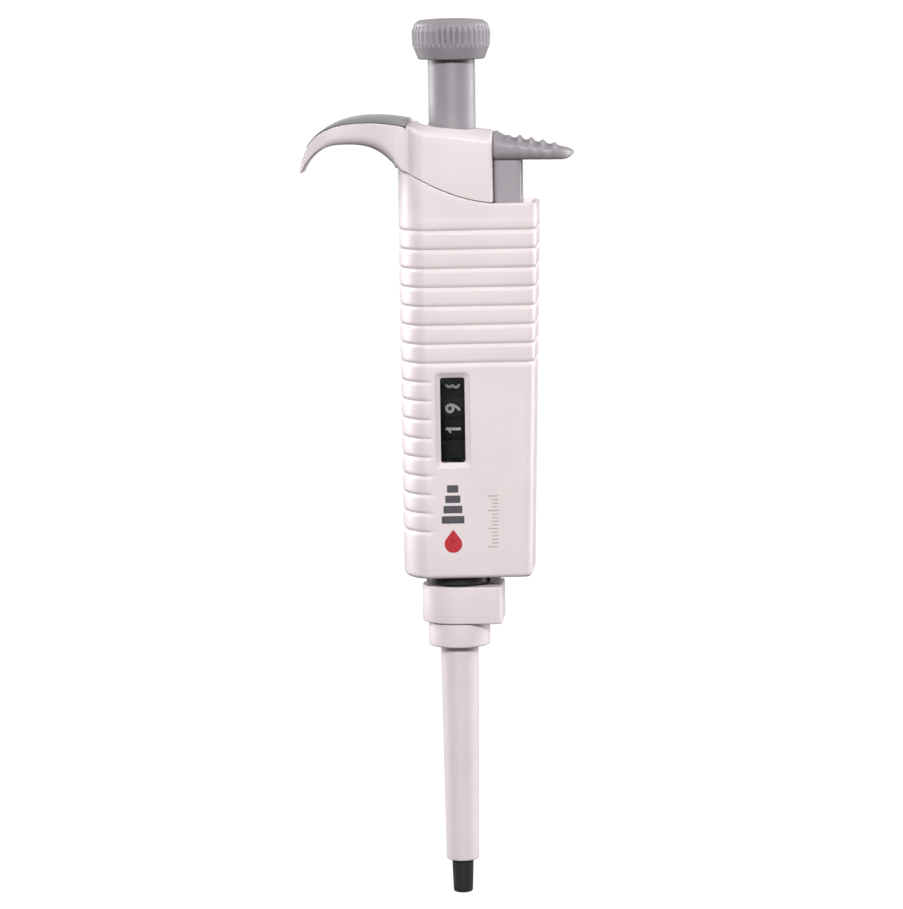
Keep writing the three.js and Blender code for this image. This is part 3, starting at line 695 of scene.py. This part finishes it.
def end_rounding(end, radius):
    """Places along X that round off an end, each with how far the section shrinks there."""
    angles = spread(0, math.pi / 2, 6)
    return [(end - radius * (1 - math.sin(a)), radius * (1 - math.cos(a))) for a in angles]


def cap_skin():
    """Cap and hook in one, hollow inside and open where the push-button's stem comes out."""
    rings = []
    for x, shrink in [(x, 0) for x in cap_stations()] + end_rounding(CAP_END, 0.6):
        top, under = cap_limits(x)
        top, under = top - shrink, under + 0.2 * shrink
        half = cap_half_width(x) - shrink
        crown = 0.25 + 2 * smoothstep(-13, -7.5, x)
        on_hook = 1 - smoothstep(-15.5, -12, x)
        under_round = lerp(0.12, lerp(0.5, 3.2, smoothstep(-39, -26, x)), on_hook)
        top_round = lerp(0.15, 1.5, smoothstep(PAD_END - 0.5, -9, x))
        rings.append(cross_section(x, half, top, under, crown, top_round, under_round))
    skin = loft("cap_skin", rings)
    carve(skin, rod("inside", 10, 180, 201.4))
    opening = half_circle(STEM_HOLE, math.pi / 2, -1.8) + half_circle(STEM_HOLE, -math.pi / 2)
    carve(skin, prism("opening", opening, [(200, 0), (206.4, 0), (209.4, -1.1)]))
    return finish_piece(skin, "handle", SHELL, ["hook_cap"], 35)


def pad_skin():
    """Soft pad lying in the recess along the hook's top and standing slightly proud of it."""
    straight = [(x, 0) for x in spread(PAD_START, PAD_END - 0.6, 72)]
    rings = []
    for x, shrink in straight + end_rounding(PAD_END - 0.1, 0.5):
        top = curve_height(HOOK_TOP, x)
        under = top - pad_drop(x) - 0.05
        half = hook_half_width(x) + 0.12 - shrink
        rings.append(cross_section(x, half, top + 0.1 - shrink, under, 0.35, 0.9, 0.05))
    return finish_piece(loft("pad_skin", rings), "handle", PAD, ["hook_pad"], 50)


# ---------- push-button ----------
def knob_skin():
    """Knurled push-button: a turned outline whose middle band is cut into ribs."""
    silhouette = rounded(
        [
            (STEM_RADIUS + 0.3, 224.3), (8.7, 224.3, 0.6), (10.25, 228.2, 0.8), (10.4, 231.8, 1.2),
            (9.7, 233.6, 1.4), (8.3, 234.55, 0.6), (7.45, 234.65, 0.1), (7.45, 233.2), (4, 233.2), (4, 230.4),
            (STEM_RADIUS + 0.3, 230.4),
        ],
        0.2,
        7,
    )
    dense = []
    for i, (r, z) in enumerate(silhouette):
        after = silhouette[(i + 1) % len(silhouette)]
        pieces = max(1, int(math.dist((r, z), after) / 0.45))
        dense += [(lerp(r, after[0], k / pieces), lerp(z, after[1], k / pieces)) for k in range(pieces)]
    segments = KNOB_RIBS * 10
    rings = []
    for i in range(segments):
        angle = 2 * math.pi * i / segments
        valley = 0.5 - 0.5 * math.cos(KNOB_RIBS * angle)
        ring = []
        for r, z in dense:
            band = smoothstep(227.6, 228.6, z) * (1 - smoothstep(232.1, 233.2, z)) if r > 8.8 else 0
            cut = r - 0.75 * band * valley**2.6
            ring.append((cut * math.cos(angle), cut * math.sin(angle), z))
        rings.append(ring)
    return finish_piece(loft("knob_skin", rings, True), "rotor", GREY, ["plunger_knob"], 60)


def knob_disc():
    outline = [(0.01, 233.3), (7.33, 233.3), (7.33, 234.66, 0.2), (3.8, 234.92, 2), (0.01, 235)]
    disc = turned("knob_disc", outline, 0.1)
    return finish_piece(disc, "rotor", GREY, ["knob_cap"])


def stem_skin():
    outline = [
        (3.4, 178), (STEM_RADIUS, 178), (STEM_RADIUS, 181, 0.05), (8.2, 181), (8.2, 184.1),
        (STEM_RADIUS, 184.1, 0.05), (STEM_RADIUS, 230), (5, 230), (5, 186), (3.4, 186),
    ]
    stem = turned("stem_skin", outline, 0.3, 128)
    return finish_piece(stem, "rotor", GREY, ["plunger_stem"])


# ---------- ejector ----------
def bump_rise(x):
    """Height of the row of grip bumps at x."""
    first, spacing, heights = 14.7, 3.04, (0.35, 0.95, 0.9, 0.8, 0.6)
    nearest = min(range(len(heights)), key=lambda i: abs(x - first - i * spacing))
    u = (x - first - nearest * spacing) / 0.62
    return heights[nearest] * math.exp(-u * u)


def button_skin():
    """Thumb lever: rounded nose, bulging sides and grip bumps across its falling top."""
    start, end, under_line, nose_height = EJECTOR_FACE, 32, BUTTON_UNDER, 199.9
    stations = [start, start + 0.06, start + 0.2, start + 0.4] + spread(start + 0.6, 30, 130)
    stations += [lerp(30.06, end, math.sin(a)) for a in spread(0.05, math.pi / 2, 18)]
    rings = []
    for x in stations:
        nose = min(max((x - 24) / (end - 24), 0), 0.9995)
        half = 7.5 * math.sqrt(1 - nose**2.6)
        fall = math.sqrt(max(1 - max((x - 29.2) / (end - 29.2), 0) ** 2, 0))
        line = 204.45 - 0.19 * (x - start) + 1.2 * max(1 - (x - start) / 3.2, 0) ** 1.3
        top = lerp(nose_height, line, fall) + bump_rise(x) * fall
        under = lerp(nose_height, under_line, fall)
        back = 0.4 * (1 - smoothstep(start, start + 0.4, x))
        half, top, under = max(half - back, 0.15), top - back, under + back
        rings.append(cross_section(x, half, max(top, under + 0.05), under, 0.5, 3, 2.4))
    return finish_piece(loft("button_skin", rings), "ejector", GREY, ["ejector_button"], 50)


def ejector_stem_skin():
    outline = rounded(rectangle(EJECTOR_FACE, EJECTOR_STEM_END, -5.5, 5.5), 1.3, 8)
    stem = prism("ejector_stem_skin", outline, edge_levels(160, BUTTON_UNDER - 0.05, 0.3))
    return finish_piece(stem, "ejector", GREY, ["ejector_stem"])


def yoke_skin():
    """Yoke block, round on the hook side, with soft edges and a bore for the piston housing."""
    joint, half = -0.6, 8.8
    turns = spread(math.pi / 2, 3 * math.pi / 2, 49)
    arc = [(joint + 9.2 * math.cos(a), half * math.sin(a)) for a in turns]
    square = rounded([(joint, -half, 0.01), (12, -8.05, 1.7), (12, 8.05, 1.7), (joint, half, 0.01)], 0.01, 8)
    outline = arc + [p for p in square if p[0] > 0.2]
    yoke = prism("yoke_skin", outline, edge_levels(COLLAR_TOP + 0.25, YOKE_TOP, 0.45))
    carve(yoke, rod("bore", CLEARANCE, 70, 90))
    return finish_piece(yoke, "ejector", SHELL, ["ejector_yoke"])


def sleeve_skin():
    outline = [
        (3.25, SLEEVE_BOTTOM, 0.2), (4.38, SLEEVE_BOTTOM, 0.8), (5.1, SLEEVE_TOP, 0.25),
        (8.25, SLEEVE_TOP, 0.6), (8.25, COLLAR_TOP, 0.35), (CLEARANCE, COLLAR_TOP, 0.2),
        (CLEARANCE, SLEEVE_TOP + 1), (3.9, SLEEVE_TOP + 1),
    ]
    sleeve = turned("sleeve_skin", outline, 0.2, 128)
    return finish_piece(sleeve, "ejector", SHELL, ["ejector_sleeve"])


# ---------- lower end ----------
def cone_skin():
    bore = 2.51
    outline = [
        (0.8, 0, 0.1), (2.6, 0, 0.6), (2.92, 9.3), (3.5, 66), (3.5, 69.4), (5.9, 69.4), (5.9, 85.2),
        (8.6, 85.2), (8.6, 87.3), (5.9, 87.3), (5.9, 98), (4.7, 98), (4.7, 78.6), (4, 78.6), (4, 70.6),
        (bore, 70.6), (bore, 30), (0.8, 28),
    ]
    cone = turned("cone_skin", outline, 0.15)
    return finish_piece(cone, "handle", CONE, ["tip_cone"])


# ---------- counter ----------
def lens_skin():
    outline = face_outline(WINDOW_WIDTH - 0.15, WINDOW_BOTTOM + 0.08, WINDOW_TOP - 0.08, 0.75)
    lens = face_stack("lens_skin", [(outline, depth) for depth in LENS_DEPTHS])
    return finish_piece(lens, "handle", GLASS, ["window_lens"])


def mask_skin():
    outline = face_outline(9.6, WINDOW_BOTTOM - 1.5, WINDOW_TOP + 0.3, 0.3)
    opening = face_outline(6.1, WINDOW_BOTTOM + 0.6, UNITS_HEIGHT + UNITS_FIGURE_RISE, 0.3)
    mask = face_stack("mask_skin", [(outline, depth) for depth in MASK_DEPTHS])
    carve(mask, face_stack("opening", [(opening, 2), (opening, 3)]))
    return finish_piece(mask, "handle", BLACK, ["window_mask"])


def drum_skin(name, place_index):
    """One number drum, with a narrow gap to its neighbours."""
    middle = UNITS_HEIGHT - place_index * DRUM_PITCH
    half = DRUM_PITCH / 2 - 0.15
    return turned(name, rectangle(DRUM_BORE, DRUM_RADIUS, middle - half, middle + half), 0.2, 120)


def add_flag(shape):
    """The short slanting stroke at the head of the figure 1."""
    corners = [(-1.15, 1.1), (-0.85, 0.65), (0.15, 1.5), (0.15, 2.1)]
    bottom = [shape.verts.new((x, y, -0.03)) for x, y in corners]
    top = [shape.verts.new((x, y, 0.032)) for x, y in corners]
    shape.faces.new(bottom[::-1])
    shape.faces.new(top)
    for i in range(4):
        j = (i + 1) % 4
        shape.faces.new((bottom[i], bottom[j], top[j], top[i]))


def digit_mesh(figure, middle, turn):
    """One printed figure wrapped on its drum, reading upwards, a given turn from the window."""
    text = bpy.data.curves.new("figure", "FONT")
    text.body = str(figure)
    text.size = DIGIT_HEIGHT / DIGIT_SHARE_OF_TYPE
    text.align_x = "CENTER"
    text.align_y = "CENTER"
    text.offset = 0.09
    text.extrude = 0.03
    holder = bpy.data.objects.new("figure", text)
    bpy.context.scene.collection.objects.link(holder)
    bpy.context.view_layer.update()
    flat = bpy.data.meshes.new_from_object(holder.evaluated_get(bpy.context.evaluated_depsgraph_get()))
    bpy.data.objects.remove(holder)
    shape = bmesh.new()
    shape.from_mesh(flat)
    if figure == 1:
        add_flag(shape)
    for step in spread(-2.4, 2.4, 13):
        everything = shape.verts[:] + shape.edges[:] + shape.faces[:]
        bmesh.ops.bisect_plane(shape, geom=everything, plane_co=(0, step, 0), plane_no=(0, 1, 0))
    for vertex in shape.verts:
        u, v, w = vertex.co
        angle = v / DRUM_RADIUS + turn
        radius = DRUM_RADIUS + w + 0.01
        vertex.co = place(-radius * math.sin(angle), -radius * math.cos(angle), middle + u)
    bmesh.ops.remove_doubles(shape, verts=shape.verts, dist=1e-7)
    shape.to_mesh(flat)
    shape.free()
    return flat


def drum_figures(name, place_index, shown, body):
    """All ten figures of a drum as one piece."""
    middle = UNITS_HEIGHT - place_index * DRUM_PITCH + (UNITS_FIGURE_RISE if place_index == 0 else 0)
    shape = bmesh.new()
    for figure in range(10):
        flat = digit_mesh(figure, middle, math.radians(36) * (figure - shown))
        shape.from_mesh(flat)
        bpy.data.meshes.remove(flat)
    mesh = bpy.data.meshes.new(name)
    shape.to_mesh(mesh)
    shape.free()
    made = bpy.data.objects.new(name, mesh)
    bpy.context.scene.collection.objects.link(made)
    return finish_piece(made, body, DIGIT_INK)


def counter():
    for index, (body, shown) in enumerate(READING.items()):
        finish_piece(drum_skin(f"{body}_drum", index), body, DRUM, [f"drum_{body}"])
        drum_figures(f"{body}_figures", index, shown, body)
    blank = drum_skin("blank_drum", len(READING))
    finish_piece(blank, "handle", DRUM, ["drum_blank"])


# ---------- printing ----------
def print_shape(name, outline, material, x, z):
    """A thin printed shape on the near face, from an (x, z) outline about its own middle."""
    moved = [(px + x, pz + z) for px, pz in outline]
    made = face_stack(name, [(moved, -0.035), (moved, 0.01)])
    return finish_piece(made, "handle", material)


def droplet(radius, tip):
    """Outline of a drop: a round lower side drawn up to a point."""
    start = math.asin(radius / tip)
    points = [(0, tip)]
    for angle in spread(math.pi - start, 2 * math.pi + start, 28):
        points.append((radius * math.cos(angle), radius * math.sin(angle)))
    return points


def printing():
    """A plain red drop over dark level bars, and a fine pale scale beside it."""
    column = -0.35
    print_shape("print_drop", droplet(2.35, 3.9), RED_INK, column, 96.9)
    for i, width in enumerate((6, 5, 4, 3)):
        bar = face_outline(width, -1, 1, 0.3)
        print_shape(f"print_bar_{i}", bar, DARK_INK, column, 103.4 + 2.75 * i)
    scale_edge, ticks = 11.6, 15
    for i in range(ticks):
        width = 2.7 if i % 5 == 0 or i == ticks - 1 else 1.6
        tick = face_outline(width, -0.13, 0.13, 0.05)
        print_shape(f"print_tick_{i}", tick, PALE_INK, scale_edge - width / 2, 96 + 0.97 * i)


# ---------- springs ----------
def coil_spring(name, radius, wire, turns, node, x=0):
    """Round-wire spring with flat end coils, spanning the height of the CAD spring it replaces."""
    low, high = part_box(node)
    bottom = low.z / MM + TOTAL_HEIGHT
    top = high.z / MM + TOTAL_HEIGHT
    steps, sides = int(turns * 40), 12
    length = top - bottom - 2 * wire
    rings = []
    for i in range(steps + 1):
        t = i / steps
        angle = 2 * math.pi * turns * t
        climb = smoothstep(0.02, 0.98, t) * 0.25 + 0.75 * min(max((t - 0.5 / turns) / (1 - 1 / turns), 0), 1)
        z = bottom + wire + length * climb
        centre = Vector((x + radius * math.cos(angle), radius * math.sin(angle), z))
        outward = Vector((math.cos(angle), math.sin(angle), 0))
        ring = []
        for k in range(sides):
            a = 2 * math.pi * k / sides
            upward = Vector((0, 0, math.sin(a)))
            ring.append(tuple(centre + wire * (outward * math.cos(a) + upward)))
        rings.append(ring)
    made = loft(name, rings)
    finish_piece(made, "handle", WIRE, [node])
    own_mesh(made)
    return made


def springs():
    coil_spring("return_coil", 3.25, 0.4, 10, "return_spring")
    coil_spring("blowout_coil", 7.6, 0.55, 4, "blowout_spring")
    coil_spring("ejector_coil", 3.55, 0.35, 8, "ejector_spring", x=14.5)


# ---------- inside pieces that keep their CAD shape ----------
CAD_MATERIALS = {
    "stem_bush": BLACK, "calibration_ring": BRASS, "top_bearing": BLACK, "guide_sleeve": BLACK,
    "spring_bracket": BLACK, "counter_frame": BLACK, "drum_arbor": STEEL, "pinion_axle": STEEL,
    "carry_pinion_tens": ACETAL, "carry_pinion_hundreds": ACETAL, "cone_nut": BLACK, "o_ring": RUBBER,
    "seal_ring": SEAL, "seal_retainer": BRASS, "spindle": STEEL, "stop_nut": BRASS, "thrust_pad": SEAL,
    "piston_head": BRASS, "piston": STEEL, "blowout_plate": STEEL, "ejector_rod": GAP_SHADE_STEEL, "rod_collar": BLACK,
}


def paint_cad_nodes():
    for node, material in CAD_MATERIALS.items():
        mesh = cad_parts[node].data
        mesh.materials.clear()
        mesh.materials.append(material)


# ---------- studio ----------
def studio_floor():
    """Paper floor that is evenly white to the camera and throws little light back up."""
    mesh = bpy.data.meshes.new("floor")
    half, level = 60, -TOTAL_HEIGHT * MM - 0.0003
    corners = [(-half, -half, level), (half, -half, level), (half, half, level), (-half, half, level)]
    mesh.from_pydata(corners, [], [(0, 1, 2, 3)])
    floor = bpy.data.objects.new("floor", mesh)
    bpy.context.scene.collection.objects.link(floor)
    nodes = Nodes("floor_paper")
    tint = nodes.blend(nodes.noise(3, 2), (0.03, 0.03, 0.03), (0.04, 0.04, 0.04))
    nodes.link(tint, nodes.surface.inputs["Base Color"])
    nodes.surface.inputs["Roughness"].default_value = 0.95
    nodes.surface.inputs["Emission Color"].default_value = (1, 1, 1, 1)
    seen = nodes.add("ShaderNodeLightPath").outputs["Is Camera Ray"]
    nodes.link(seen, nodes.surface.inputs["Emission Strength"])
    mesh.materials.append(nodes.material)


def soft_light(name, location, target, width, height, power):
    light = bpy.data.lights.new(name, "AREA")
    light.shape = "RECTANGLE"
    light.size = width
    light.size_y = height
    light.energy = power
    made = bpy.data.objects.new(name, light)
    bpy.context.scene.collection.objects.link(made)
    made.location = location
    made.rotation_mode = "QUATERNION"
    made.rotation_quaternion = (Vector(target) - Vector(location)).to_track_quat("-Z", "Y")


def studio_lights():
    middle = (0, 0, -0.12)
    soft_light("left_box", (-0.75, 0.35, 0.0), middle, 0.35, 1.1, 13)
    soft_light("right_box", (0.75, 0.35, 0.0), middle, 0.35, 1.1, 12)
    soft_light("key", (0.15, -1.5, 0.6), middle, 0.3, 0.2, 24)
    world = bpy.data.worlds.new("studio")
    world.use_nodes = True
    tree = world.node_tree
    background = tree.nodes["Background"]
    background.inputs["Color"].default_value = (1, 1, 1, 1)
    strength = tree.nodes.new("ShaderNodeMapRange")
    strength.inputs["To Min"].default_value = 0.3
    strength.inputs["To Max"].default_value = 1
    seen = tree.nodes.new("ShaderNodeLightPath").outputs["Is Camera Ray"]
    tree.links.new(seen, strength.inputs["Value"])
    tree.links.new(strength.outputs["Result"], background.inputs["Strength"])
    bpy.context.scene.world = world
    bpy.context.scene.view_settings.view_transform = "Standard"


def camera():
    """Looks down slightly from a metre away, a little to the ejector side, leaning as the pipette does."""
    distance, height = 1.0, 0.250 - TOTAL_HEIGHT * MM
    azimuth, pitch, roll = math.radians(4.5), math.radians(7.45), math.radians(0.85)
    sideways = math.radians(0.085)
    data = bpy.data.cameras.new("camera")
    data.sensor_width = 36
    data.lens = 149.6
    made = bpy.data.objects.new("camera", data)
    bpy.context.scene.collection.objects.link(made)
    made.location = (distance * math.sin(azimuth), -distance * math.cos(azimuth), height)
    aim = Matrix.Rotation(azimuth + sideways, 4, "Z") @ Matrix.Rotation(math.pi / 2 - pitch, 4, "X")
    aim = aim @ Matrix.Rotation(-roll, 4, "Z")
    made.rotation_mode = "QUATERNION"
    made.rotation_quaternion = aim.to_quaternion()
    bpy.context.scene.camera = made


# ---------- build ----------
paint_cad_nodes()
for build in (
    body_skin, shoulder_deck, cap_skin, pad_skin, knob_skin, knob_disc, stem_skin, button_skin,
    ejector_stem_skin, yoke_skin, sleeve_skin, cone_skin, lens_skin, mask_skin, counter, printing, springs,
    studio_floor, studio_lights, camera,
):
    build()
